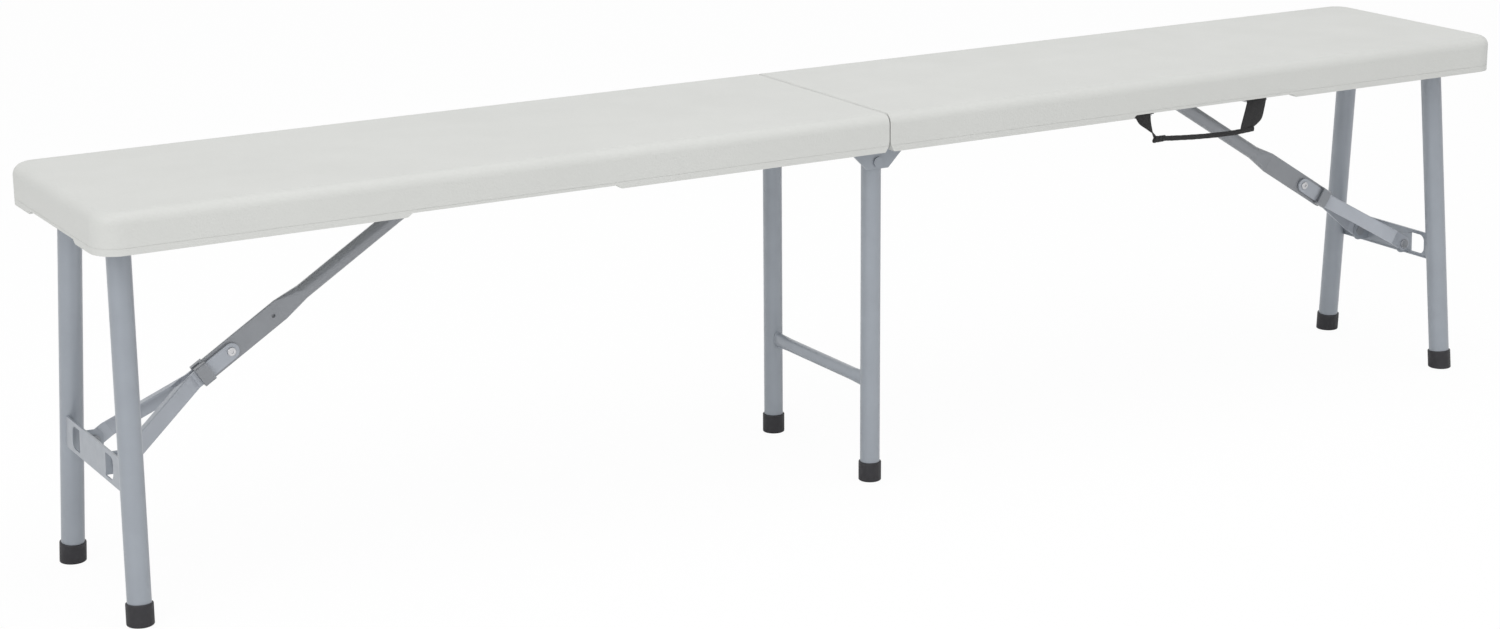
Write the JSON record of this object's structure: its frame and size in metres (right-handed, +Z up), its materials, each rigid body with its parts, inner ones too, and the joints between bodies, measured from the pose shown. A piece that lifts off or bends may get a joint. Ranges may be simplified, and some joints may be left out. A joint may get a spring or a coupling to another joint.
{
  "type": "folding bench",
  "caption": "Long fold-in-half bench with a moulded resin seat, grey steel legs and braces, dark foot caps and a black webbing carry handle.",
  "frame": {"origin": "on the floor, under the middle of the bench", "axes": "+X along the bench towards the half with the handle, +Y to the rear, away from the handle, +Z up"},
  "size_m": [1.829, 0.298, 0.44],
  "materials": {
    "seat_resin": "fine moulded grain",
    "frame_steel": "satin powder coat",
    "brace_steel": "satin powder coat",
    "zinc_fasteners": "zinc plated",
    "bush_plastic": "moulded",
    "foot_rubber": "moulded matt",
    "webbing": "woven webbing"
  },
  "bodies": {
    "centre_frame": {"centre_leg_rear": "frame_steel", "centre_leg_front": "frame_steel", "centre_bracket_rear": "frame_steel", "centre_bracket_front": "frame_steel", "centre_bracket_rivets": "zinc_fasteners", "centre_stretcher": "frame_steel", "centre_hinge_pins": "zinc_fasteners", "centre_hinge_washers": "zinc_fasteners", "centre_foot_caps": "foot_rubber"},
    "right_half": {"right_seat": "seat_resin", "right_rail_rear": "frame_steel", "right_rail_front": "frame_steel", "right_frame_screws": "zinc_fasteners", "right_leg_pivot_pins": "zinc_fasteners", "right_brace_bracket": "frame_steel", "right_brace_top_pin": "zinc_fasteners", "handle_webbing_ends": "webbing", "handle_anchor_plates": "zinc_fasteners", "handle_anchor_screws": "zinc_fasteners"},
    "right_end_legs": {"right_leg_rear": "frame_steel", "right_leg_front": "frame_steel", "right_leg_pivot_tube": "frame_steel", "right_leg_pivot_bushes": "bush_plastic", "right_cross_plate": "frame_steel", "right_foot_caps": "foot_rubber", "right_arm_foot_rivets": "brace_steel"},
    "right_upper_brace": {"right_upper_arm": "brace_steel"},
    "right_lower_brace": {"right_lower_arm_rear": "brace_steel", "right_lower_arm_front": "brace_steel", "right_knee_rivet": "zinc_fasteners"},
    "right_ring": {"right_lock_ring": "brace_steel"},
    "left_half": {"left_seat": "seat_resin", "left_rail_rear": "frame_steel", "left_rail_front": "frame_steel", "left_frame_screws": "zinc_fasteners", "left_leg_pivot_pins": "zinc_fasteners", "left_brace_bracket": "frame_steel", "left_brace_top_pin": "zinc_fasteners"},
    "left_end_legs": {"left_leg_rear": "frame_steel", "left_leg_front": "frame_steel", "left_leg_pivot_tube": "frame_steel", "left_leg_pivot_bushes": "bush_plastic", "left_cross_plate": "frame_steel", "left_foot_caps": "foot_rubber", "left_arm_foot_rivets": "brace_steel"},
    "left_upper_brace": {"left_upper_arm": "brace_steel"},
    "left_lower_brace": {"left_lower_arm_rear": "brace_steel", "left_lower_arm_front": "brace_steel", "left_knee_rivet": "zinc_fasteners"},
    "left_ring": {"left_lock_ring": "brace_steel"},
    "handle": {"handle_strap_left": "webbing", "handle_strap_right": "webbing", "handle_wrap": "webbing", "handle_grip": "webbing"}
  },
  "joints": [
    {"name": "right_half_hinge", "type": "hinge", "parent": "centre_frame", "child": "right_half", "pos_m": [0.022, 0, 0.411], "axis": [0, 1, 0], "range_deg": [0, 90]},
    {"name": "right_leg_hinge", "type": "hinge", "parent": "right_half", "child": "right_end_legs", "pos_m": [0.871, 0, 0.407], "axis": [0, 1, 0], "range_deg": [0, 91.9]},
    {"name": "right_upper_brace_hinge", "type": "hinge", "parent": "right_half", "child": "right_upper_brace", "pos_m": [0.4556, 0, 0.414], "axis": [0, -1, 0], "range_deg": [0, 32.01]},
    {"name": "right_lower_brace_hinge", "type": "hinge", "parent": "right_end_legs", "child": "right_lower_brace", "pos_m": [0.8724, 0, 0.15351], "axis": [0, 1, 0], "range_deg": [0, 56.1]},
    {"name": "right_ring_slide", "type": "slide", "parent": "right_lower_brace", "child": "right_ring", "axis": [0.848, 0, -0.53], "range_m": [0, 0.012]},
    {"name": "left_half_hinge", "type": "hinge", "parent": "centre_frame", "child": "left_half", "pos_m": [-0.022, 0, 0.411], "axis": [0, -1, 0], "range_deg": [0, 90]},
    {"name": "left_leg_hinge", "type": "hinge", "parent": "left_half", "child": "left_end_legs", "pos_m": [-0.871, 0, 0.407], "axis": [0, -1, 0], "range_deg": [0, 91.9]},
    {"name": "left_upper_brace_hinge", "type": "hinge", "parent": "left_half", "child": "left_upper_brace", "pos_m": [-0.4556, 0, 0.414], "axis": [0, 1, 0], "range_deg": [0, 32.01]},
    {"name": "left_lower_brace_hinge", "type": "hinge", "parent": "left_end_legs", "child": "left_lower_brace", "pos_m": [-0.8724, 0, 0.15351], "axis": [0, -1, 0], "range_deg": [0, 56.1]},
    {"name": "left_ring_slide", "type": "slide", "parent": "left_lower_brace", "child": "left_ring", "axis": [-0.848, 0, -0.53], "range_m": [0, 0.012]},
    {"name": "handle_swing", "type": "hinge", "parent": "right_half", "child": "handle", "pos_m": [0.449, -0.139, 0.398], "axis": [-1, 0, 0], "range_deg": [0, 90]}
  ],
  "couplings": [
    {"joint": "left_half_hinge", "follows": "right_half_hinge", "ratio": 1},
    {"joint": "right_leg_hinge", "follows": "right_half_hinge", "ratio": 1.0211},
    {"joint": "left_leg_hinge", "follows": "right_half_hinge", "ratio": 1.0211},
    {"joint": "right_upper_brace_hinge", "follows": "right_half_hinge", "ratio": 0.3556},
    {"joint": "left_upper_brace_hinge", "follows": "right_half_hinge", "ratio": 0.3556},
    {"joint": "right_lower_brace_hinge", "follows": "right_half_hinge", "ratio": 0.62329},
    {"joint": "left_lower_brace_hinge", "follows": "right_half_hinge", "ratio": 0.62329},
    {"joint": "handle_swing", "follows": "right_half_hinge", "ratio": 1}
  ]
}
